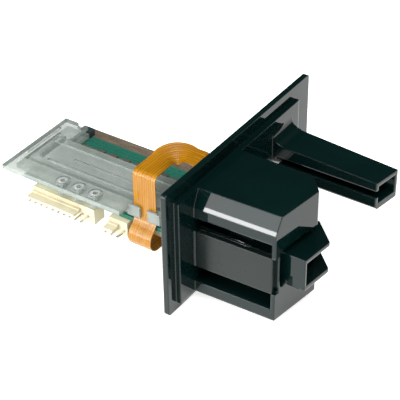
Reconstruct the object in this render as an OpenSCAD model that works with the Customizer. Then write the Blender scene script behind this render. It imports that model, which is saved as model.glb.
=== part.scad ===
// Manual-insertion card validator: panel bezel with two forward guide arms,
// clear card guide behind it, control board, floating read head and flex lead.
// Units are mm. Origin: centre of the panel flange's rear face. +X to the
// user's right, -Y towards the user, +Z up.

/* [Panel flange] */
// Flange width across the panel
flange_w = 90; // [84:0.5:110]
// Flange height
flange_h = 49.4; // [48:0.2:60]
// Flange rim thickness
flange_t = 2; // [1.5:0.1:3]
// Width of the rim on the flange's rear that seats on the panel
seat_rim = 3; // [2:0.1:4]
// Depth of the flange's rear face inside that rim
seat_depth = 0.3; // [0.2:0.05:0.6]
// Raised pad: how far it stands off the flange face
pad_t = 1.9; // [1:0.1:3]
// Raised pad: rim left showing on the left
pad_rim_left = 4.4; // [3:0.1:8]
// Raised pad: rim left showing on the right
pad_rim_right = 10; // [6:0.1:14]
// Raised pad: rim left showing at the top
pad_rim_top = 5; // [3:0.1:8]
// Raised pad: rim left showing at the bottom
pad_rim_bottom = 3.4; // [2:0.1:6]
// Threaded insert spacing across
insert_dx = 68; // [64:0.5:70]
// Threaded insert spacing up
insert_dz = 34; // [30:0.5:36]
// Middle of the inserts across, from the flange middle
insert_x = -2.6; // [-4:0.1:-1]
// Middle of the inserts up, from the flange middle
insert_z = -0.8; // [-2:0.1:1]
// Thread hole radius of the inserts
insert_r = 1.25; // [1:0.05:1.5]

/* [Card path] */
// Card width the path is made for
card_w = 53.98; // [53.9:0.01:54.1]
// Side clearance of the card path, both sides together
card_side_gap = 0.42; // [0.2:0.02:1]
// Middle of the card path across the flange
card_mid_x = -1.4; // [-3:0.1:3]
// Height of the surface the card slides on
card_z = 3.3; // [2:0.1:5]
// Height of the card passage between the guides and through the flange
card_gap = 1.45; // [1.1:0.05:2]
// Height of the guide slots in the two arms
slot_gap = 2.9; // [2:0.1:4]

/* [Head arm] */
// Head arm: left side at the pad, from the flange middle
arm_l_x0 = -32.2; // [-34:0.1:-30]
// Head arm: right side at the pad, from the flange middle
arm_l_x1 = -3; // [-6:0.1:0]
// Head arm: reach in front of the flange rear face, left corner
arm_l_reach = 34.4; // [28:0.2:44]
// Head arm: extra reach at the right corner
arm_l_slant = 3.1; // [0:0.1:5]
// Head arm: inward taper of the left side along its reach
arm_l_draft = 1.2; // [0:0.1:3]
// Head arm: corner cut at the front right
arm_l_chamfer = 5.8; // [2:0.1:8]
// Nose block: how far it stands out below the card mouth
nose_reach = 7.7; // [4:0.1:12]
// Nose block: height
nose_h = 12.5; // [9:0.1:16]
// Shell wall
wall = 2; // [1.5:0.1:3]

/* [Guide arm] */
// Guide arm: left side, from the flange middle
arm_r_x0 = 17.1; // [14:0.1:20]
// Guide arm: width at the pad
arm_r_w = 13.3; // [12:0.1:16]
// Guide arm: reach in front of the flange rear face
arm_r_reach = 45; // [36:0.2:56]
// Guide arm: top at the pad
arm_r_top = 11; // [9:0.1:14]
// Guide arm: bottom at the pad
arm_r_bottom = -2.4; // [-5:0.1:0]
// Guide arm: taper of top, bottom and outer side over its reach
arm_r_taper = 1.7; // [0:0.1:2.5]
// Fillet between the top of the guide arm and the pad
arm_r_fillet = 4; // [2:0.5:5]

/* [Rear guides] */
// Rear guide: left edge, from the flange middle
deck_x0 = -39.5; // [-41:0.1:-37]
// Rear guide: right edge, from the flange middle
deck_x1 = -3.7; // [-6:0.1:0]
// Rear guide: length behind the flange
deck_l = 72.2; // [68:0.2:80]
// Upper guide plate thickness
upper_t = 1.75; // [1.2:0.05:2.5]
// Lower guide plate thickness
lower_t = 2; // [1.4:0.1:3]
// Card stop: distance behind the flange
stop_y = 69; // [64:0.2:70]
// Inner edge of the left strip, where the flex clips sit
strip_x = -33.6; // [-35:0.1:-32]

/* [Control board] */
// Board thickness
board_t = 1.6; // [1:0.1:2]
// Board past the right edge of the guides
board_over = 7.1; // [0:0.1:9]
// Gap between board and lower guide
board_gap = 0.8; // [0.5:0.1:2]
// Board length
board_l = 64.8; // [60:0.2:66]
// Pin pitch of the board headers
pitch = 2.54; // [2:0.01:2.54]

/* [Flex lead] */
// Flex lead width
flex_w = 9.2; // [7:0.1:10]
// Flex lead thickness
flex_t = 0.3; // [0.2:0.05:0.4]
// Height of the flat bend above the flange middle
flex_z = 20.2; // [16:0.1:21]
// Distance of the hanging leg's middle behind the flange
flex_y = 15; // [14:0.1:16]
// Inner radius of the flat bend
flex_r = 2; // [1:0.1:3]

/* [Read head] */
// Head can width across the card
head_w = 9.6; // [8:0.1:11]
// Head can length along the card
head_l = 8; // [6:0.1:10]
// Middle of the head across
head_x = -17.9; // [-19:0.1:-17]
// Distance of the head in front of the flange rear face
head_y = 17; // [14:0.2:22]
// Radial clearance of the head pivot
head_fit = 0.05; // [0.01:0.01:0.1]
// Travel the head springs allow
head_travel = 0.9; // [0.5:0.1:1.2]

/* [Card levers] */
// Lever pivot radius
lever_pin_r = 0.6; // [0.4:0.05:0.8]
// Radial clearance of the lever pivots
lever_fit = 0.05; // [0.01:0.01:0.1]
// Lever width
lever_w = 2.2; // [1.5:0.1:3]

/* [Hidden] */
$fn = 40;
e = 0.05;
fw = flange_w / 2;
fh = flange_h / 2;
face_y = -flange_t - pad_t;
rear_y = -seat_depth + 0.05;
insert_y = -seat_depth - 0.02;
pad_x0 = -fw + pad_rim_left;
pad_x1 = fw - pad_rim_right;
pad_z0 = -fh + pad_rim_bottom;
pad_z1 = fh - pad_rim_top;
card_x0 = card_mid_x - (card_w + card_side_gap) / 2;
card_x1 = card_mid_x + (card_w + card_side_gap) / 2;
ceil_z = card_z + card_gap;
slot_top = card_z + slot_gap;
upper_z1 = ceil_z + upper_t;
lower_z0 = card_z - lower_t;
board_z1 = lower_z0 - board_gap;
board_z0 = board_z1 - board_t;
board_x0 = deck_x0 + 6.1;
board_x1 = deck_x1 + board_over;
board_y0 = 3.2;
front_l = -arm_l_reach;
front_r = -arm_l_reach - arm_l_slant;
front_rx = arm_l_x1 - 0.9 - arm_l_chamfer;
bevel_z = pad_z1 - 5.4;
cover_t = 2;
groove_d = 5.4;
foot_d = 7.6;
band_z = 9.7;
panel_z1 = card_z + 0.8;
panel_z0 = -10.4;
foot_z = -17;
nose_x0 = arm_l_x0 + 7;
nose_z1 = card_z;
nose_z0 = card_z - nose_h;
nose_wall = 0.8;
lens_w = 9.6;
lens_h = 7;
lens_z = nose_z0 + 2.8;
lens_x = nose_x0 + 2.4;
bar_y0 = face_y - 2.4;
bar_y1 = -flange_t;
bar_z0 = card_z - 2.1;
bar_z1 = card_z - 0.05;
pin_z = -4.7;
row_y = 60.8;
row3_y = 27.6;
head_z0 = card_z + 0.4;
head_h = 7.4;
pivot_z = head_z0 + 5.2;
pivot_r = 0.75;
cav_z0 = slot_top + 1.2;
cav_z1 = pad_z1 - wall;
yoke_z = head_z0 + head_h + 0.5;
yoke_t = 0.9;
lever_z = 1.95;
lever_x = -24.5;
lever_y = [8.5, 58.5];
toe_y = 6;
rivets = [[-36.1, 47.6], [-36.1, 40.6], [-36.1, 33.6]];
rear_screws = [-30.4, -5.6];
posts = [[deck_x0 + 10.1, 31.5], [deck_x0 + 10.1, 66], [deck_x1 - 4.8, 7.4], [deck_x1 - 4.8, 66]];
win_x0 = -15.2;
leg_x = strip_x + 0.4;
tab_t = 0.8;

// plan outline of the head arm, cut from the pad outwards
module arm_plan(grow = 0) {
  polygon([[arm_l_x0 - grow, face_y + 1], [arm_l_x0 - grow, face_y],
    [arm_l_x0 + arm_l_draft - grow, front_l - grow], [front_rx, front_r - grow],
    [arm_l_x1 - 0.9 + grow, front_r + arm_l_chamfer * 0.93], [arm_l_x1 + grow, face_y],
    [arm_l_x1 + grow, face_y + 1]]);
}

// a prism whose outline is drawn in Y,Z and runs along X
module yz_prism(x0, x1, points) {
  translate([x0, 0, 0]) rotate([90, 0, 90]) linear_extrude(x1 - x0) polygon(points);
}

// a prism whose outline is drawn in X,Z and runs along Y
module xz_prism(y0, y1, points) {
  translate([0, y1, 0]) rotate([90, 0, 0]) linear_extrude(y1 - y0) polygon(points);
}

module slab(x0, x1, y0, y1, z0, z1) {
  translate([x0, y0, z0]) cube([x1 - x0, y1 - y0, z1 - z0]);
}

module rod_y(x, z, y0, y1, r) {
  translate([x, y1, z]) rotate([90, 0, 0]) cylinder(h = y1 - y0, r = r);
}

module rod_x(y, z, x0, x1, r) {
  translate([x0, y, z]) rotate([0, 90, 0]) cylinder(h = x1 - x0, r = r);
}

// turned to follow the drafted left side of the head arm
module along_left() {
  translate([arm_l_x0, face_y, 0]) rotate([0, 0, atan(arm_l_draft / (arm_l_reach + face_y))])
    translate([-arm_l_x0, -face_y, 0]) children();
}

module head_arm_block() {
  difference() {
    translate([0, 0, pad_z0]) linear_extrude(pad_z1 - pad_z0) arm_plan();
    // bevel between top and left side
    along_left() xz_prism(front_l - 10, face_y,
      [[arm_l_x0 - 3, bevel_z - 1], [arm_l_x0, bevel_z - 1], [arm_l_x0 + 0.62, bevel_z + 0.5],
       [arm_l_x0 + 2.9, pad_z1], [arm_l_x0 + 2.9, pad_z1 + 3], [arm_l_x0 - 3, pad_z1 + 3]]);
  }
}

module nose_block() {
  translate([0, 0, nose_z0]) linear_extrude(nose_z1 - nose_z0) polygon([
    [nose_x0, front_l + 3], [nose_x0, front_l - nose_reach], [nose_x0 + 12.9, front_l - nose_reach - 1.6],
    [arm_l_x1 - 1.3, front_r + 2.2], [arm_l_x1 - 1.3, front_r + 6]]);
}

module guide_arm_block() {
  x1 = arm_r_x0 + arm_r_w;
  tip = -arm_r_reach;
  intersection() {
    translate([0, 0, arm_r_bottom - 5]) linear_extrude(40) polygon([
      [arm_r_x0, face_y + 1], [arm_r_x0, tip], [x1 - arm_r_taper, tip - 2], [x1, face_y], [x1, face_y + 1]]);
    yz_prism(arm_r_x0 - 1, x1 + 1, [[face_y + 1, arm_r_top], [face_y, arm_r_top],
      [tip - 3, arm_r_top - arm_r_taper], [tip - 3, arm_r_bottom + arm_r_taper - 1],
      [face_y, arm_r_bottom - 1], [face_y + 1, arm_r_bottom - 1]]);
    xz_prism(tip - 4, face_y + 2, [[arm_r_x0, arm_r_bottom + 1.8], [arm_r_x0 + 1.8, arm_r_bottom],
      [x1 - 2.6, arm_r_bottom - 0.9], [x1, arm_r_bottom + 1.8], [x1, 40], [arm_r_x0, 40]]);
  }
}

module guide_arm_fillets() {
  r = arm_r_fillet;
  difference() {
    slab(arm_r_x0, arm_r_x0 + arm_r_w, face_y - r, face_y + 0.5, arm_r_top - 0.6, arm_r_top + r);
    rod_x(face_y - r - 0.02, arm_r_top + r + 0.02, arm_r_x0 - 1, arm_r_x0 + arm_r_w + 1, r + 0.02);
  }
}

module bezel() color([0.03, 0.04, 0.04]) difference() {
  union() {
    translate([-fw + 1.2, 0, -fh + 1.2]) rotate([90, 0, 0])
      linear_extrude(flange_t) round_plate(flange_w - 2.4, flange_h - 2.4, 1.2);
    slab(pad_x0, pad_x1, face_y, -flange_t + 0.5, pad_z0, pad_z1);
    head_arm_block();
    nose_block();
    guide_arm_block();
    guide_arm_fillets();
  }
  // rear face inside the seating rim
  slab(-fw + seat_rim, fw - seat_rim, -seat_depth, 1, -fh + seat_rim, fh - seat_rim);
  // card passage through the flange and the guide slots of both arms
  slab(card_x0, card_x1, -60, 1, card_z, ceil_z);
  yz_prism(card_x0, card_x1, [[-60, card_z], [face_y - 0.6, card_z], [face_y - 0.6, ceil_z],
    [face_y - 2.2, slot_top], [-60, slot_top]]);
  // grooves of the left side
  along_left() slab(arm_l_x0 - 3, arm_l_x0 + groove_d, front_l + 1.4, face_y, panel_z1, band_z);
  along_left() slab(arm_l_x0 - 3, arm_l_x0 + foot_d, front_l + 1.4, face_y, foot_z, panel_z0);
  // seat of the side cover
  along_left() slab(arm_l_x0 - 3, arm_l_x0 + cover_t, front_l - 5, face_y - 0.6, panel_z0 - e, panel_z1 + e);
  // relief between side cover and nose
  slab(arm_l_x0 + 3.5, nose_x0, front_l - 6, front_l + 4.4, nose_z0 + 2, card_z + 0.2);
  rod_y((arm_l_x0 + 3.5 + nose_x0) / 2, nose_z0 + 2, front_l - 6, front_l + 4.4, (nose_x0 - arm_l_x0 - 3.5) / 2);
  // head compartment and lower compartment, both open to the rear
  slab(arm_l_x0 + groove_d + arm_l_draft + 1.4, arm_l_x1 - wall - 1, front_l + 3, 1, cav_z0, cav_z1);
  slab(arm_l_x0 + foot_d + arm_l_draft + 1.4, arm_l_x1 - wall - 3.2, front_l + 6.5, 1, pad_z0 + wall, card_z - 2.8);
  // opening the head reads through
  slab(head_x - head_w / 2 - 1.3, head_x + head_w / 2 + 1.3, -head_y - head_l / 2 - 2, -head_y + head_l / 2 + 2,
    ceil_z, cav_z0 + 1);
  // hollow of the guide arm
  slab(arm_r_x0 + 1.2, arm_r_x0 + arm_r_w - 2.8, -60, -arm_r_reach + 20, arm_r_bottom + 3.2,
    arm_r_top - arm_r_taper - 1.5);
  // recess of the nose, open to the front and the right
  slab(nose_x0 + nose_wall, 0, -60, front_l + 0.6, nose_z0 + 1.7, card_z - 1.5);
  // lens pocket at the back of the recess, light shaft behind it
  slab(lens_x, lens_x + lens_w, -60, front_l + 2.2, lens_z, lens_z + lens_h);
  slab(lens_x + 1.5, lens_x + lens_w - 1.5, -60, front_l + 8, lens_z + 1.5, lens_z + lens_h - 1.5);
  // seat of the light bar
  slab(arm_l_x1 - e, arm_r_x0 + 3 + e, bar_y0 - e, bar_y1, bar_z0 - e, card_z + 0.01);
  // seats of the inserts and screw pilots
  for (sx = [-1, 1], sz = [-1, 1]) translate([insert_x + sx * insert_dx / 2, 0, insert_z + sz * insert_dz / 2]) {
    rod_y(0, 0, -3.12, 1, 1.97);
    rod_y(0, 0, insert_y - 0.6, 1, 2.57);
  }
  for (x = rear_screws) rod_y(x, -3.6, -3.4, 1, 0.95);
}

module round_plate(w, h, r) {
  translate([0, -r]) square([w, h + 2 * r]);
  translate([-r, 0]) square([w + 2 * r, h]);
  for (x = [0, w], y = [0, h]) translate([x, y]) circle(r = r);
}

module side_cover() color([0.05, 0.06, 0.06]) along_left()
  slab(arm_l_x0, arm_l_x0 + cover_t - 0.02, front_l + 1.1, face_y - 0.8, panel_z0, panel_z1);

module status_lens() color([0.12, 0.1, 0.12]) slab(lens_x + 0.05, lens_x + lens_w - 0.05,
  front_l + 0.9, front_l + 2.15, lens_z + 0.05, lens_z + lens_h - 0.05);

module status_led() color([0.85, 0.9, 0.85]) {
  x = lens_x + lens_w / 2;
  z = lens_z + lens_h / 2;
  slab(x - 1.6, x + 1.6, front_l + 6.4, front_l + 7.5, z - 1.4, z + 1.4);
  rod_y(x, z, front_l + 5.5, front_l + 6.5, 1.1);
}

module entry_light_bar() color([0.95, 0.97, 0.95]) slab(arm_l_x1, arm_r_x0 + 3, bar_y0, bar_y1 - 0.02, bar_z0, bar_z1);

module panel_inserts() color([0.78, 0.62, 0.3])
  for (sx = [-1, 1], sz = [-1, 1]) translate([insert_x + sx * insert_dx / 2, 0, insert_z + sz * insert_dz / 2])
    difference() {
      union() {
        rod_y(0, 0, -3.1, insert_y, 1.95);
        rod_y(0, 0, insert_y - 0.58, insert_y, 2.55);
      }
      rod_y(0, 0, -2.7, 1, insert_r);
    }

module flex_clip(y0, y1, wall_y0, wall_y1) {
  slab(strip_x - tab_t, strip_x, y0, y1, lower_z0 + 0.9, upper_z1);
  slab(strip_x - tab_t, strip_x + 0.7, wall_y0, wall_y1, lower_z0 + 0.9, upper_z1);
  slab(strip_x - tab_t, strip_x + 1.2, wall_y0, wall_y1, ceil_z, upper_z1);
}

module upper_guide() color([0.85, 0.9, 0.9, 0.4]) difference() {
  y0 = flex_y - flex_w / 2;
  y1 = flex_y + flex_w / 2;
  union() {
    slab(strip_x + 0.8, deck_x1, rear_y, deck_l, ceil_z, upper_z1);
    slab(deck_x0, strip_x + 1, y1 + 1.6, deck_l, ceil_z, upper_z1);
    flex_clip(y0 - 2, flex_y - 1.6, y0 - 2, y0 - 0.5);
    flex_clip(flex_y + 1.6, y1 + 2, y1 + 0.5, y1 + 2);
    // side wall that keeps the card's left edge in line
    slab(card_x0 - 1.6, card_x0 - 0.1, 3, stop_y + 1.2, card_z + 0.05, ceil_z + 0.1);
    slab(card_x0 - 0.6, card_x0 + 0.4, y0 + 6, deck_l - 12, upper_z1 - 0.1, upper_z1 + 0.8);
    // stiffening rails beside the window
    slab(win_x0 - 3.2, win_x0 - 0.2, 2, deck_l - 6, upper_z1 - 0.1, upper_z1 + 0.7);
    slab(card_x0 + 4.5, card_x0 + 5.2, 4, deck_l - 20, upper_z1 - 0.1, upper_z1 + 0.5);
    // card stop
    slab(card_x0 - 0.4, win_x0 + 4.8, stop_y, stop_y + 1.2, card_z + 0.05, upper_z1 + 0.9);
    for (p = rivets) translate([p[0], p[1], ceil_z]) cylinder(h = upper_t + 0.6, r = 2.6);
  }
  slab(win_x0, deck_x1 + 2, 10, deck_l - 10.2, ceil_z - 1, upper_z1 + 3);
  slab(card_x0 + 2, win_x0 + 2, stop_y - 4.4, stop_y - 3, ceil_z - 1, upper_z1 + 0.2);
  for (p = rivets) translate([p[0], p[1], ceil_z - 1]) cylinder(h = 6, r = 1.25);
  translate([deck_x1, deck_l - 7.5, ceil_z - 1]) cylinder(h = 6, r = 1.6);
}

module lower_guide() color([0.8, 0.86, 0.86, 0.4]) difference() {
  union() {
    slab(strip_x + 0.8, deck_x1, rear_y, stop_y + 2.6, lower_z0, card_z);
    slab(strip_x + 0.8, deck_x1 + 0.9, rear_y, 2.5, -6.4, card_z);
    for (p = rivets) {
      translate([p[0], p[1], card_z - 0.9]) cylinder(h = card_gap + 0.88, r = 2.3);
      slab(p[0], strip_x + 1.4, p[1] - 1, p[1] + 1, card_z - 0.9, card_z - 0.1);
    }
    for (p = posts) translate([p[0], p[1], board_z1 + 0.02])
      cylinder(h = lower_z0 - board_z1 + 0.1, r = 1.9);
  }
  for (p = rivets) translate([p[0], p[1], lower_z0 - 1]) cylinder(h = 6, r = 0.95);
  for (x = rear_screws) rod_y(x, -3.6, -1, 4, 1.35);
  for (y = lever_y) {
    slab(lever_x - lever_w / 2 - 0.4, lever_x + lever_w / 2 + 0.4, y - 4.2, y + toe_y + 1.8, -1, card_z + 1);
    rod_x(y, lever_z, lever_x - 3.2, lever_x + 3.2, lever_pin_r);
  }
  slab(win_x0 + 0.6, deck_x1 + 2, 11, deck_l - 10.5, lower_z0 - 1, card_z + 1);
  for (p = posts) translate([p[0], p[1], -1]) cylinder(h = 3.6, r = 0.8);
}

module guide_rivets() color([0.9, 0.93, 0.92])
  for (p = rivets) {
    translate([p[0], p[1], upper_z1 + 0.62]) cylinder(h = 0.6, r1 = 2.1, r2 = 1.7);
    translate([p[0], p[1], card_z - 0.8]) cylinder(h = upper_z1 - card_z + 1.6, r = 0.93);
  }

module bezel_screws() color([0.78, 0.79, 0.8])
  for (x = rear_screws) {
    rod_y(x, -3.6, 2.52, 3.9, 1.9);
    rod_y(x, -3.6, -3.3, 2.7, 0.93);
  }

module control_board() color([0.06, 0.35, 0.22]) difference() {
  slab(board_x0, board_x1, board_y0, board_y0 + board_l, board_z0, board_z1);
  for (x = rear_screws) slab(x - 2.4, x + 2.4, 0, board_y0 + 1.4, board_z0 - 1, board_z1 + 1);
  for (p = posts) translate([p[0], p[1], board_z0 - 1]) cylinder(h = 4, r = 1.3);
  for (i = [0:9]) translate([board_x0 + 1.9, row_y - i * pitch, board_z0 - 1]) cylinder(h = 4, r = 0.5);
  for (i = [0:2]) translate([board_x0 + 1.9, row3_y - i * pitch, board_z0 - 1]) cylinder(h = 4, r = 0.5);
  for (y = lever_y) slab(lever_x - 1.5, lever_x + 1.5, y - 4.6, y + toe_y + 1.6, board_z0 - 1, board_z1 + 1);
}

module board_chips() color([0.08, 0.09, 0.1]) {
  for (c = [[-14, 22, 7, 10], [-14, 44, 9, 9], [-21, 34, 5, 6]])
    slab(c[0] - c[2] / 2, c[0] + c[2] / 2, c[1] - c[3] / 2, c[1] + c[3] / 2, board_z0 - 1.6, board_z0 - 0.02);
  slab(board_x1 - 6.3, board_x1 - 3.1, deck_l - 10, deck_l - 5.4, board_z1 + 0.01, card_z - 0.1);
}

module board_capacitors() color([0.7, 0.6, 0.42]) {
  for (y = [18, 24, 35, 40.4, 46, 51.6]) slab(-8.6, -7, y, y + 3, board_z1 + 0.01, board_z1 + 0.7);
  for (y = [12.4, 28.4, 52]) slab(-20, -17, y, y + 1.6, board_z0 - 1.3, board_z0 - 0.01);
}

module header_body(y_first, count, tongue_y0, tongue_y1, extra) {
  y1 = y_first + 1.35;
  y0 = y_first - (count - 1) * pitch - 1.35 - extra;
  x0 = board_x0 - 2.2;
  difference() {
    union() {
      slab(x0, x0 + 5.4, y0, y1, pin_z - 2.6, board_z0 - 0.02);
      slab(deck_x0 - 0.1, x0 + 0.2, tongue_y0, tongue_y1, pin_z + 0.75, pin_z + 1.65);
      slab(x0 - 1.1, x0 + 0.2, tongue_y0, tongue_y1, pin_z + 0.75, pin_z + 2.2);
    }
    for (i = [0:count - 1]) slab(x0 - 1, x0 + 6, y_first - i * pitch - 0.33, y_first - i * pitch + 0.33,
      pin_z - 0.33, pin_z + 0.33);
    for (i = [0:count - 1]) slab(board_x0 + 1.57, board_x0 + 2.23, y_first - i * pitch - 0.33,
      y_first - i * pitch + 0.33, pin_z, 0);
  }
}

module header_pins(y_first, count) {
  for (i = [0:count - 1]) {
    y = y_first - i * pitch;
    slab(deck_x0 - 0.6, board_x0 + 2.22, y - 0.32, y + 0.32, pin_z - 0.32, pin_z + 0.32);
    slab(board_x0 + 1.58, board_x0 + 2.22, y - 0.32, y + 0.32, pin_z - 0.32, board_z1 + 0.5);
  }
}

module header_10_body() color([0.9, 0.87, 0.76]) header_body(row_y, 10, 41.2, 62.1, 1.4);
module header_10_pins() color([0.8, 0.78, 0.7]) header_pins(row_y, 10);
module header_3_body() color([0.9, 0.87, 0.76]) header_body(row3_y, 3, 24.7, 28.8, 0);
module header_3_pins() color([0.8, 0.78, 0.7]) header_pins(row3_y, 3);

module flex_connector() color([0.88, 0.86, 0.76]) difference() {
  slab(board_x0 + 1.6, board_x0 + 7.2, flex_y - 6.8, flex_y + 5.4, board_z0 - 3.4, board_z0 - 0.02);
  slab(board_x0 + 3.4, board_x0 + 8, flex_y - flex_w / 2 - 0.3, flex_y + flex_w / 2 + 0.3,
    board_z0 - 2.2, board_z0 - 1.4);
}

// middle line of the hanging leg and its lower loop, in X,Z
function arc(cx, cz, r, a0, a1, n) = [for (i = [0:n]) let (a = a0 + (a1 - a0) * i / n) [cx + r * cos(a), cz + r * sin(a)]];
loop_z = board_z0 - 8;
loop_a = 55;
loop_r1 = 5;
loop_x = leg_x - loop_r1 * (1 - cos(loop_a));
loop_z1 = 3 - loop_r1 * sin(loop_a);
loop_r2 = (loop_z1 - loop_z) / (1 + sin(loop_a));
leg_path = concat(
  [[leg_x + 3, flex_z]],
  arc(leg_x + 2, flex_z - 2, 2, 90, 180, 8),
  arc(leg_x - loop_r1, 3, loop_r1, 0, -loop_a, 7),
  arc(loop_x + loop_r2 * cos(loop_a), loop_z + loop_r2, loop_r2, 188 - loop_a, 270, 11),
  arc(board_x0 + 8.4, (loop_z + board_z0 - 1.8) / 2, (board_z0 - 1.8 - loop_z) / 2, -90, 90, 12),
  [[board_x0 + 4, board_z0 - 1.8]]);

// thin ribbon along a middle line
function side(path, i) = let (a = path[max(0, i - 1)], b = path[min(len(path) - 1, i + 1)],
  d = [b[0] - a[0], b[1] - a[1]], l = norm(d)) [-d[1] / l, d[0] / l];
function ribbon(path, h) = concat(
  [for (i = [0:len(path) - 1]) path[i] + h * side(path, i)],
  [for (i = [len(path) - 1:-1:0]) path[i] - h * side(path, i)]);

module head_flex() color([0.86, 0.56, 0.12]) {
  h = flex_t / 2;
  y0 = flex_y - flex_w / 2;
  bend_x = head_x - flex_r - flex_w / 2 + 2.2;
  drop_y = 6;
  xz_prism(y0, y0 + flex_w, ribbon(leg_path, h));
  // flat part: straight, quarter turn, straight
  translate([0, 0, flex_z - h]) linear_extrude(flex_t) {
    translate([leg_x + 3, y0]) square([bend_x - leg_x - 3, flex_w]);
    difference() {
      translate([bend_x, y0 - flex_r]) circle(r = flex_r + flex_w, $fn = 72);
      translate([bend_x, y0 - flex_r]) circle(r = flex_r);
      translate([bend_x - 30, y0 - flex_r - 30]) square([30, 60]);
      translate([bend_x - 30, y0 - flex_r - 30]) square([60, 30]);
    }
    translate([bend_x + flex_r, drop_y]) square([flex_w, y0 - flex_r - drop_y]);
  }
  // turned down behind the flange and into the head compartment
  yz_prism(bend_x + flex_r, bend_x + flex_r + flex_w, ribbon(concat(
    [[drop_y, flex_z]], arc(drop_y - 1, flex_z - 2, 2, 90, 180, 8), arc(drop_y - 5.5, 16.1, 2.5, 0, -90, 8),
    [[-head_y + 7, 13.6]]), h));
}

module flex_stiffener() color([0.75, 0.62, 0.35])
  slab(head_x - 5, head_x + 6, -head_y + 6.2, -head_y + 12, 13.1, 13.4);

module read_head() color([0.7, 0.71, 0.73]) difference() {
  union() {
    slab(head_x - head_w / 2, head_x + head_w / 2, -head_y - head_l / 2, -head_y + head_l / 2,
      head_z0 + 1.6, head_z0 + head_h);
    intersection() {
      slab(head_x - head_w / 2, head_x + head_w / 2, -head_y - head_l / 2, -head_y + head_l / 2,
        head_z0 - 1, head_z0 + 2);
      rod_x(-head_y, head_z0 + 6.5, head_x - head_w / 2, head_x + head_w / 2, 6.5);
    }
  }
  rod_y(head_x, pivot_z, -head_y - head_l, -head_y + head_l, pivot_r + head_fit);
}

module head_yoke() color([0.62, 0.63, 0.65]) difference() {
  union() {
    for (s = [-1, 1]) translate([0, s * (head_l / 2 + 0.9), 0])
      slab(head_x - 3, head_x + 3, -head_y - 0.5, -head_y + 0.5, pivot_z - 2, yoke_z + yoke_t);
    slab(head_x - 4.6, head_x + 4.6, -head_y - head_l / 2 - 1.4, -head_y + head_l / 2 + 1.4, yoke_z, yoke_z + yoke_t);
  }
  rod_y(head_x, pivot_z, -head_y - head_l, -head_y + head_l, pivot_r);
}

module head_pivot() color([0.8, 0.8, 0.82])
  rod_y(head_x, pivot_z, -head_y - head_l / 2 - 1.6, -head_y + head_l / 2 + 1.6, pivot_r);

module head_springs() color([0.8, 0.8, 0.82]) {
  z0 = yoke_z + yoke_t + 0.25;
  z1 = cav_z1 - 0.02;
  turns = 4;
  for (s = [-1, 1]) translate([head_x + s * 3, -head_y, 0]) {
    for (i = [0:turns]) translate([0, 0, z0 + (z1 - z0 - 0.5) * i / turns]) rotate_extrude()
      translate([1.15, 0]) square([0.5, 0.5]);
    translate([1.2, -0.2, z0]) cube([0.35, 0.4, z1 - z0]);
  }
}

module lever(y) {
  difference() {
    union() {
      rod_x(y, lever_z, lever_x - lever_w / 2, lever_x + lever_w / 2, 1.25);
      yz_prism(lever_x - lever_w / 2, lever_x + lever_w / 2, [[y, lever_z - 0.6], [y + toe_y + 0.4, lever_z - 0.6],
        [y + toe_y + 1, lever_z + 0.6], [y + toe_y, card_z + 1.1], [y + toe_y - 1, card_z + 1.1],
        [y + 2.4, lever_z + 0.9], [y, lever_z + 0.9]]);
      // tail and the flag that breaks the sensor's beam
      yz_prism(lever_x - 0.4, lever_x + 0.4, [[y, lever_z - 0.8], [y - 2.4, lever_z - 0.9], [y - 2.4, board_z0 - 2.4],
        [y - 3.2, board_z0 - 2.4], [y - 3.2, lever_z + 0.3], [y, lever_z + 0.8]]);
    }
    rod_x(y, lever_z, lever_x - 3, lever_x + 3, lever_pin_r + lever_fit);
  }
}

module entry_lever() color([0.93, 0.93, 0.9]) lever(lever_y[0]);
module end_lever() color([0.93, 0.93, 0.9]) lever(lever_y[1]);

module lever_pins() color([0.8, 0.8, 0.82])
  for (y = lever_y) rod_x(y, lever_z, lever_x - 3, lever_x + 3, lever_pin_r);

module sensor(y) {
  difference() {
    slab(lever_x - 3.3, lever_x + 3.3, y - 5, y - 1, board_z0 - 4, board_z0 - 0.02);
    slab(lever_x - 1.2, lever_x + 1.2, y - 6, y, board_z0 - 2.9, board_z0 + 1);
  }
}

module entry_sensor() color([0.1, 0.1, 0.12]) sensor(lever_y[0]);
module end_sensor() color([0.1, 0.1, 0.12]) sensor(lever_y[1]);

module board_screws() color([0.78, 0.79, 0.8])
  for (p = posts) {
    x = p[0];
    y = p[1];
    translate([x, y, board_z0 - 1.3]) cylinder(h = 1.28, r = 2);
    translate([x, y, board_z0 - 0.6]) cylinder(h = board_t + 2.4, r = 0.78);
  }

bezel();
side_cover();
status_lens();
status_led();
entry_light_bar();
panel_inserts();
upper_guide();
lower_guide();
guide_rivets();
bezel_screws();
control_board();
board_chips();
board_capacitors();
header_10_body();
header_10_pins();
header_3_body();
header_3_pins();
flex_connector();
head_flex();
flex_stiffener();
read_head();
head_yoke();
head_pivot();
head_springs();
entry_lever();
end_lever();
lever_pins();
entry_sensor();
end_sensor();
board_screws();
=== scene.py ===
import math

import bmesh
import bpy
from mathutils import Matrix, Vector

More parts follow.
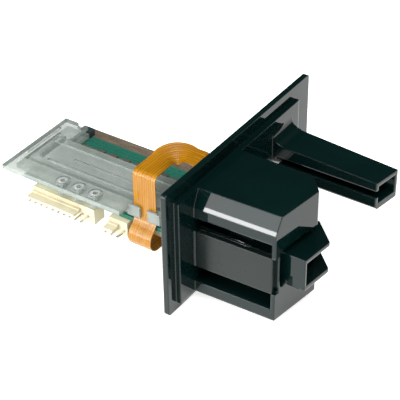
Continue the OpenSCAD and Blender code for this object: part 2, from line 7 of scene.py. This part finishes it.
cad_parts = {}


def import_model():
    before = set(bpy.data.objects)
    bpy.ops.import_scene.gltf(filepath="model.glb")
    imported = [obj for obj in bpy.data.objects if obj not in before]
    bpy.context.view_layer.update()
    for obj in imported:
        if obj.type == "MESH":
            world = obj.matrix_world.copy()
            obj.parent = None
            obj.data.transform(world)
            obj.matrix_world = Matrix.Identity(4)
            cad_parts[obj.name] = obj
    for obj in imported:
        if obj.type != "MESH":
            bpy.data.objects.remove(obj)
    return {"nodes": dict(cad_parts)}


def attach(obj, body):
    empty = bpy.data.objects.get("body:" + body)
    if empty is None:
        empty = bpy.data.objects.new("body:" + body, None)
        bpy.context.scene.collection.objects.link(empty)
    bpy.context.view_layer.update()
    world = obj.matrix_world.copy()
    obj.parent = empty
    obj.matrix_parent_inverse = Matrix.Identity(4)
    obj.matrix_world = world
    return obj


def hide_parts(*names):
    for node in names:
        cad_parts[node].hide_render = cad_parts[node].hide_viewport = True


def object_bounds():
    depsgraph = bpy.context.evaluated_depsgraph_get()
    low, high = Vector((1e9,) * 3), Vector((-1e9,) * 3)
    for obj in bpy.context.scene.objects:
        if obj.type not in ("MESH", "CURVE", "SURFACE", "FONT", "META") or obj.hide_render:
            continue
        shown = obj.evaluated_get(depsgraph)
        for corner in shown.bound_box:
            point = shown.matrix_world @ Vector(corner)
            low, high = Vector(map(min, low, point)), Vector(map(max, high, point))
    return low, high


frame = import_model()
cad_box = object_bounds()
nodes = frame["nodes"]
MM = 0.001


# ---------------------------------------------------------------- camera
CAMERA_AZIMUTH, CAMERA_ELEVATION, CAMERA_ROLL = -55.6276, 35.993, -0.8719    # degrees
CAMERA_SPOT = (-312.683, -198.336, 264.498)                                  # mm
CAMERA_LENS, CAMERA_SENSOR = 117.74, 36                                      # mm


def place_camera():
    az, el, roll = (math.radians(a) for a in (CAMERA_AZIMUTH, CAMERA_ELEVATION, CAMERA_ROLL))
    level = Vector((math.cos(az), math.sin(az), 0))
    back = Vector((math.sin(az) * math.cos(el), -math.cos(az) * math.cos(el), math.sin(el)))
    upright = back.cross(level)
    right = level * math.cos(roll) + upright * math.sin(roll)
    up = upright * math.cos(roll) - level * math.sin(roll)
    data = bpy.data.cameras.new("camera")
    data.sensor_width = CAMERA_SENSOR
    data.lens = CAMERA_LENS
    data.clip_start = 0.02
    data.clip_end = 20
    cam = bpy.data.objects.new("camera", data)
    turn = Matrix((right, up, back)).transposed().to_4x4()
    cam.matrix_world = Matrix.Translation(Vector(CAMERA_SPOT) * MM) @ turn
    bpy.context.scene.collection.objects.link(cam)
    bpy.context.scene.camera = cam


place_camera()
bpy.context.scene.view_settings.view_transform = "Standard"


# ---------------------------------------------------------------- materials
class Mat:
    """A procedural material: a Principled shader fed by a few noise layers."""

    def __init__(self, name, rough=0.4, metallic=0.0, ior=1.5):
        self.m = bpy.data.materials.new(name)
        self.m.use_nodes = True
        self.t = self.m.node_tree
        self.p = self.t.nodes["Principled BSDF"]
        self.p.inputs["Roughness"].default_value = rough
        self.p.inputs["Metallic"].default_value = metallic
        self.p.inputs["IOR"].default_value = ior
        self.at = self.node("ShaderNodeTexCoord").outputs["Object"]

    def node(self, kind, **props):
        n = self.t.nodes.new(kind)
        for k, v in props.items():
            setattr(n, k, v)
        return n

    def link(self, a, b):
        self.t.links.new(a, b)

    def scaled(self, vector, stretch):
        n = self.node("ShaderNodeMapping")
        n.inputs["Scale"].default_value = stretch
        self.link(vector, n.inputs["Vector"])
        return n.outputs["Vector"]

    def axes(self, vector):
        n = self.node("ShaderNodeSeparateXYZ")
        self.link(vector, n.inputs[0])
        return n.outputs

    def noise(self, scale, detail=3.0, rough=0.5, stretch=None, at=None):
        n = self.node("ShaderNodeTexNoise")
        n.inputs["Scale"].default_value = scale
        n.inputs["Detail"].default_value = detail
        n.inputs["Roughness"].default_value = rough
        at = at or self.at
        self.link(self.scaled(at, stretch) if stretch else at, n.inputs["Vector"])
        return n.outputs["Fac"]

    def ramp(self, fac, stops):
        n = self.node("ShaderNodeValToRGB")
        for e, (pos, col) in zip(n.color_ramp.elements, stops):
            e.position = pos
            e.color = (*col, 1)
        self.link(fac, n.inputs["Fac"])
        return n.outputs["Color"]

    def blotch(self, fac, dark, light):
        """Two tones that drift into each other where a noise layer passes its middle."""
        return self.ramp(fac, [(0.3, dark), (0.7, light)])

    def span(self, fac, lo, hi, a=0.3, b=0.7):
        n = self.node("ShaderNodeMapRange")
        for k, v in zip(("From Min", "From Max", "To Min", "To Max"), (a, b, lo, hi)):
            n.inputs[k].default_value = v
        self.link(fac, n.inputs["Value"])
        return n.outputs["Result"]

    def math(self, op, *terms):
        n = self.node("ShaderNodeMath", operation=op)
        for s, v in zip(n.inputs, terms):
            if isinstance(v, (int, float)):
                s.default_value = v
            else:
                self.link(v, s)
        return n.outputs[0]

    def mix(self, fac, a, b):
        n = self.node("ShaderNodeMix", data_type="RGBA")
        factor, first, second = n.inputs[0], n.inputs[6], n.inputs[7]
        self.link(fac, factor)
        for s, v in ((first, a), (second, b)):
            if isinstance(v, tuple):
                s.default_value = (*v, 1)
            else:
                self.link(v, s)
        return n.outputs[2]

    def colour(self, out):
        self.link(out, self.p.inputs["Base Color"])

    def roughness(self, out):
        self.link(out, self.p.inputs["Roughness"])

    def bump(self, height, depth_mm, strength=1.0, edge_mm=0.0):
        """Relief from a height layer; with edge_mm, sharp edges also shade as if rounded."""
        n = self.node("ShaderNodeBump")
        n.inputs["Strength"].default_value = strength
        n.inputs["Distance"].default_value = depth_mm * MM
        self.link(height, n.inputs["Height"])
        if edge_mm:
            soft = self.node("ShaderNodeBevel", samples=6)
            soft.inputs["Radius"].default_value = edge_mm * MM
            self.link(soft.outputs["Normal"], n.inputs["Normal"])
        self.link(n.outputs["Normal"], self.p.inputs["Normal"])


def gloss_black(name, dark, light, rough=(0.015, 0.06)):
    """Moulded high-gloss plastic: faint tone drift, handling haze, slight ripple, soft edges."""
    m = Mat(name, ior=1.42)
    m.colour(m.blotch(m.noise(45, 4), dark, light))
    m.roughness(m.span(m.noise(140, 6, 0.6), *rough, 0.35, 0.65))
    m.bump(m.noise(120, 2), 0.006, 0.3, 0.7)
    return m.m


def matt(name, dark, light, rough=(0.45, 0.6), depth=0.02):
    """Plain moulded or coated surface with a fine grain."""
    grain = 1800
    m = Mat(name)
    m.colour(m.blotch(m.noise(160, 5), dark, light))
    m.roughness(m.span(m.noise(grain, 2), *rough))
    m.bump(m.noise(grain, 3), depth)
    return m.m


def metal(name, dark, light, rough=(0.18, 0.34)):
    """Drawn or plated metal with marks that run one way."""
    drawn = (1, 1, 14)
    m = Mat(name, metallic=1.0)
    m.colour(m.blotch(m.noise(320, 4, stretch=drawn), dark, light))
    m.roughness(m.span(m.noise(700, 4, stretch=drawn), *rough))
    m.bump(m.noise(900, 3, stretch=drawn), 0.01)
    return m.m


def clear_plastic(name, face=0.02, haze=0.13, edge=0.45, tint=(0.4, 0.44, 0.41)):
    """Moulded polycarbonate: see-through level faces with satin haze, denser upright ones that also
    carry a painted shade, darker grey than the level faces.
    """
    glass_ior = 1.58
    m = Mat(name, rough=0.1, ior=glass_ior)
    normal = m.node("ShaderNodeNewGeometry").outputs["Normal"]
    level = m.span(m.math("ABSOLUTE", m.axes(normal)["Z"]), 0.0, 1.0, 0.55, 0.95)
    cloud = m.span(m.noise(95, 5, 0.62), 0.0, 1.0, 0.35, 0.68)
    # painted shade: upright faces get a darker grey (0.34, 0.39, 0.36) than the level-face tint
    shade = m.ramp(level, [(0.0, (0.34, 0.39, 0.36)), (1.0, tint)])
    m.colour(m.mix(m.math("MULTIPLY", cloud, 0.35), shade, (0.62, 0.66, 0.63)))
    sheet = m.math("MULTIPLY_ADD", cloud, haze, face)
    body = m.math("MULTIPLY_ADD", level, m.math("SUBTRACT", sheet, edge), edge)
    gloss = m.node("ShaderNodeFresnel")
    gloss.inputs["IOR"].default_value = glass_ior
    m.link(m.math("MULTIPLY_ADD", gloss.outputs[0], 0.7, body), m.p.inputs["Alpha"])
    m.roughness(m.span(cloud, 0.05, 0.22, 0.2, 0.9))
    m.bump(m.noise(2600, 2), 0.008, 0.5)
    return m.m


# Bare brown strips along the board: middle in X and half width, in metres
BOARD_STRIPS = ((0.0011, 0.0021), (-0.0079, 0.0007))
STRIP_BLUR = 0.0002


def board_tracks(m, along, across):
    """Mask of thin tracks that run along the board and stop at staggered places."""
    swap = m.node("ShaderNodeCombineXYZ")
    m.link(along, swap.inputs["X"])
    m.link(across, swap.inputs["Y"])
    track = m.node("ShaderNodeTexBrick", offset=0.37, squash=1.0)
    for k, v in (("Scale", 260), ("Mortar Size", 0.03), ("Brick Width", 2.3), ("Row Height", 0.42)):
        track.inputs[k].default_value = v
    m.link(swap.outputs[0], track.inputs["Vector"])
    return track.outputs["Fac"]


def board_green(name):
    """Solder mask over copper: pale tracks along the board and two brown bare strips."""
    m = Mat(name, ior=1.5)
    place = m.axes(m.at)
    base = m.blotch(m.noise(60, 4), (0.014, 0.12, 0.082), (0.024, 0.165, 0.115))
    lines = board_tracks(m, place["Y"], place["X"])
    green = m.mix(m.math("MULTIPLY", lines, 0.3), base, (0.05, 0.26, 0.18))
    strips = []
    for middle, half in BOARD_STRIPS:
        off = m.math("ABSOLUTE", m.math("SUBTRACT", place["X"], middle))
        strips.append(m.span(off, 1.0, 0.0, half, half + STRIP_BLUR))
    brown = m.blotch(m.noise(220, 4, stretch=(3, 0.4, 1)), (0.11, 0.085, 0.06), (0.22, 0.175, 0.13))
    m.colour(m.mix(m.math("MAXIMUM", *strips), green, brown))
    m.roughness(m.span(m.noise(900, 3), 0.22, 0.36))
    m.bump(lines, 0.03, 0.6)
    return m.m


TRACES = 10


def flex_film(name):
    """Amber polyimide over copper conductors, which run with the strip's own u,v."""
    m = Mat(name, ior=1.5)
    uv = m.node("ShaderNodeTexCoord").outputs["UV"]
    wave = m.math("SINE", m.math("MULTIPLY", m.axes(uv)["X"], math.pi * TRACES))
    lane = m.span(m.math("ABSOLUTE", wave), 0.0, 1.0, 0.12, 0.5)
    drift = m.noise(1.6, 4, stretch=(14, 2, 1), at=uv)
    copper = m.blotch(drift, (0.34, 0.135, 0.002), (0.47, 0.21, 0.004))
    gap = m.blotch(m.noise(400, 3), (0.2, 0.07, 0.004), (0.3, 0.11, 0.008))
    m.colour(m.mix(lane, gap, copper))
    m.roughness(m.span(drift, 0.16, 0.3))
    m.bump(m.noise(700, 3), 0.01, 0.5)
    return m.m


MATS = {
    "bezel": gloss_black("bezel_gloss", (0.0012, 0.0085, 0.0078), (0.002, 0.0125, 0.0115)),
    "side_cover": gloss_black("cover_gloss", (0.004, 0.009, 0.008), (0.006, 0.012, 0.011), (0.16, 0.28)),
    "status_lens": gloss_black("lens_smoked", (0.004, 0.007, 0.006), (0.008, 0.012, 0.01), (0.03, 0.08)),
    "status_led": matt("led_clear", (0.72, 0.8, 0.72), (0.85, 0.92, 0.85), (0.15, 0.3)),
    "entry_light_bar": matt("light_bar", (0.8, 0.84, 0.82), (0.93, 0.95, 0.93), (0.12, 0.25), 0.005),
    "panel_inserts": metal("insert_brass", (0.62, 0.44, 0.18), (0.8, 0.6, 0.28)),
    "upper_guide": clear_plastic("guide_clear"),
    "lower_guide": clear_plastic("guide_lower", 0.0, 0.08, 0.32),
    "guide_rivets": clear_plastic("rivet_clear", 0.0, 0.1, 0.25, (0.62, 0.66, 0.63)),
    "bezel_screws": metal("screw_steel", (0.55, 0.56, 0.58), (0.78, 0.79, 0.8)),
    "control_board": board_green("board"),
    "board_chips": matt("chip_black", (0.012, 0.022, 0.024), (0.024, 0.04, 0.043)),
    "board_capacitors": matt("capacitor", (0.07, 0.06, 0.045), (0.13, 0.11, 0.085)),
    "header_10_body": matt("header_cream", (0.62, 0.56, 0.38), (0.7, 0.65, 0.47), (0.4, 0.55)),
    "header_10_pins": metal("pin_tinned", (0.6, 0.58, 0.52), (0.82, 0.8, 0.74), (0.15, 0.3)),
    "head_flex": flex_film("flex_amber"),
    "flex_stiffener": matt("stiffener", (0.5, 0.36, 0.16), (0.62, 0.47, 0.22)),
    "read_head": metal("head_can", (0.5, 0.5, 0.52), (0.68, 0.69, 0.7), (0.25, 0.4)),
    "entry_lever": matt("lever_acetal", (0.8, 0.79, 0.74), (0.9, 0.89, 0.85), (0.3, 0.45)),
    "entry_sensor": matt("sensor_black", (0.012, 0.013, 0.016), (0.03, 0.03, 0.036)),
}
# Nodes that share another node's material
SAME = {
    "board_screws": "bezel_screws",
    "head_pivot": "bezel_screws",
    "lever_pins": "bezel_screws",
    "head_springs": "bezel_screws",
    "head_yoke": "read_head",
    "header_3_body": "header_10_body",
    "flex_connector": "header_10_body",
    "header_3_pins": "header_10_pins",
    "end_lever": "entry_lever",
    "end_sensor": "entry_sensor",
}
for name, obj in nodes.items():
    obj.data.materials.clear()
    obj.data.materials.append(MATS[SAME.get(name, name)])


# ---------------------------------------------------------------- rounded edges on CAD nodes
# Width of the rounding, mm
ROUND = {
    "header_10_body": 0.12,
    "header_3_body": 0.12,
    "entry_light_bar": 0.15,
    "read_head": 0.3,
    "board_chips": 0.1,
    "flex_connector": 0.12,
}


def rounded(obj, width):
    w = obj.modifiers.new("weld", "WELD")
    w.merge_threshold = 0.004 * MM
    b = obj.modifiers.new("round", "BEVEL")
    b.width = width * MM
    b.segments = 3
    b.limit_method = "ANGLE"
    b.angle_limit = math.radians(28)
    b.use_clamp_overlap = True
    b.miter_outer = "MITER_ARC"


for name, width in ROUND.items():
    rounded(nodes[name], width)


# ---------------------------------------------------------------- flex lead, all in mm
FLEX_W, FLEX_T = 9.2, 0.26
FLEX_RIDGE = 0.035          # relief of each conductor
FLEX_ACROSS = 60            # divisions across the strip
FLEX_REPEAT = 40            # length of strip for one unit of v
LEG_Y = 15                  # the leg beside the guides stands in this plane
TURN_MIDDLE, TURN_R, TURN_Z = (-22.3, 8.4), 6.6, 20.2
TURN_STEPS = 24
BANK = 22                   # degrees the strip leans in the middle of the turn
HEAD_X = TURN_MIDDLE[0] + TURN_R


def arc(cx, cy, r, a0, a1, n):
    turn = [math.radians(a0 + (a1 - a0) * i / n) for i in range(n + 1)]
    return [(cx + r * math.cos(a), cy + r * math.sin(a)) for a in turn]


def flex_leg():
    """From the connector round the lower loop, up between the clips and over the top bend."""
    leg = [(-29.4, -2.9)] + arc(-25, -6, 3.1, 90, -90, 14)
    leg += arc(-32.808, -4.7, 4.4, 270, 125, 20)
    leg += arc(-38.2, 3, 5, -55, 0, 10)
    leg += [(-33.2, z) for z in (5.5, 8, 10.5, 13, 15.2, 17)]
    leg += arc(-31.2, TURN_Z - 2, 2, 180, 90, 12)
    return [(Vector((x, LEG_Y, z)), Vector((0, 1, 0))) for x, z in leg]


def flex_turn():
    """The banked quarter turn above the guides, towards the flange."""
    out = []
    for i in range(TURN_STEPS + 1):
        a = math.radians(90 - 90 * i / TURN_STEPS)
        bank = math.radians(BANK) * math.sin(math.pi * i / TURN_STEPS) ** 0.8
        d = Vector((math.cos(a), math.sin(a), 0))
        c = Vector((*TURN_MIDDLE, TURN_Z)) + TURN_R * d
        out.append((c, d * math.cos(bank) + Vector((0, 0, math.sin(bank)))))
    return out


def flex_drop():
    """Down behind the flange and forward to the head."""
    drop = arc(5, TURN_Z - 2, 2, 90, 180, 8) + arc(0.5, 16.1, 2.5, 0, -90, 8) + [(-10, 13.6)]
    return [(Vector((HEAD_X, y, z)), Vector((1, 0, 0))) for y, z in drop]


def flex_row(bm, middle, across, normal, run):
    """One cross-section: the upper side, then the lower one, each as (vertex, u, v)."""
    row = []
    for side in (1, -1):
        for j in range(FLEX_ACROSS + 1):
            u = j / FLEX_ACROSS
            ridge = FLEX_RIDGE * abs(math.sin(math.pi * TRACES * u))
            half = FLEX_T / 2 - FLEX_RIDGE + ridge
            p = middle + across * (u - 0.5) * FLEX_W + normal * side * half
            row.append((bm.verts.new(p * MM), u, run / FLEX_REPEAT))
    return row


def flex_mesh(stations):
    bm = bmesh.new()
    uv = bm.loops.layers.uv.new("strip")
    run, rows = 0.0, []
    for i, (c, d) in enumerate(stations):
        before = stations[max(0, i - 1)][0]
        after = stations[min(len(stations) - 1, i + 1)][0]
        run += (c - before).length
        n = (after - before).normalized().cross(d).normalized()
        rows.append(flex_row(bm, c, d, n, run))

    def face(*corners):
        f = bm.faces.new([corner[0] for corner in corners])
        f.smooth = True
        for loop, corner in zip(f.loops, corners):
            loop[uv].uv = corner[1:]

    last, low = FLEX_ACROSS, FLEX_ACROSS + 1
    for a, b in zip(rows, rows[1:]):
        for j in range(last):
            face(a[j], a[j + 1], b[j + 1], b[j])
            face(a[low + j], b[low + j], b[low + j + 1], a[low + j + 1])
        face(a[0], b[0], b[low], a[low])
        face(a[last], a[low + last], b[low + last], b[last])
    for row in (rows[0], rows[-1]):
        for j in range(last):
            face(row[j], row[low + j], row[low + j + 1], row[j + 1])
    bmesh.ops.recalc_face_normals(bm, faces=bm.faces)
    return bm


def linked_mesh(bm, name, material):
    me = bpy.data.meshes.new(name)
    bm.to_mesh(me)
    bm.free()
    me.materials.append(material)
    ob = bpy.data.objects.new(name, me)
    bpy.context.scene.collection.objects.link(ob)
    return ob


strip = linked_mesh(flex_mesh(flex_leg() + flex_turn() + flex_drop()), "flex_strip", MATS["head_flex"])
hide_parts("head_flex")
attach(strip, "housing")


# ---------------------------------------------------------------- stage
FLOOR_GAP, FLOOR_HALF = 0.0003, 3.0        # m
FLOOR_GLOW = 0.9


def floor():
    m = Mat("floor_pale", rough=0.8)
    pale = m.blotch(m.noise(3, 2), (0.86, 0.86, 0.85), (0.9, 0.9, 0.89))
    m.colour(pale)
    m.link(pale, m.p.inputs["Emission Color"])
    m.p.inputs["Emission Strength"].default_value = FLOOR_GLOW
    bm = bmesh.new()
    bmesh.ops.create_grid(bm, x_segments=4, y_segments=4, size=FLOOR_HALF)
    ob = linked_mesh(bm, "floor", m.m)
    ob.location.z = cad_box[0].z - FLOOR_GAP


def area_light(name, spot, size, power):
    """A rectangular light, in metres and watts, that faces the origin."""
    d = bpy.data.lights.new(name, "AREA")
    d.shape = "RECTANGLE"
    d.size, d.size_y = size
    d.energy = power
    o = bpy.data.objects.new(name, d)
    o.location = spot
    o.rotation_mode = "QUATERNION"
    o.rotation_quaternion = (-Vector(spot)).to_track_quat("-Z", "Y")
    bpy.context.scene.collection.objects.link(o)


def world():
    """A dim studio room that is a little lighter overhead."""
    w = bpy.data.worlds.new("studio")
    w.use_nodes = True
    t = w.node_tree
    place = t.nodes.new("ShaderNodeTexCoord")
    axes = t.nodes.new("ShaderNodeSeparateXYZ")
    ramp = t.nodes.new("ShaderNodeValToRGB")
    low, high = ramp.color_ramp.elements
    low.position, low.color = 0.0, (0.05, 0.055, 0.055, 1)
    high.position, high.color = 1.0, (0.3, 0.31, 0.31, 1)
    ramp.color_ramp.elements.new(0.6).color = (0.02, 0.024, 0.024, 1)
    t.links.new(place.outputs["Generated"], axes.inputs[0])
    t.links.new(axes.outputs["Z"], ramp.inputs["Fac"])
    t.links.new(ramp.outputs["Color"], t.nodes["Background"].inputs["Color"])
    bpy.context.scene.world = w


floor()
world()
area_light("key", (-0.25, -0.35, 1.3), (1.1, 1.1), 19)
area_light("side", (-1.3, 0.65, 0.42), (1.6, 0.7), 16)
area_light("strip_high", (-1.1, 0.8, 1.0), (1.8, 0.15), 9)
area_light("strip_low", (-1.5, 0.9, 0.14), (1.8, 0.1), 12)
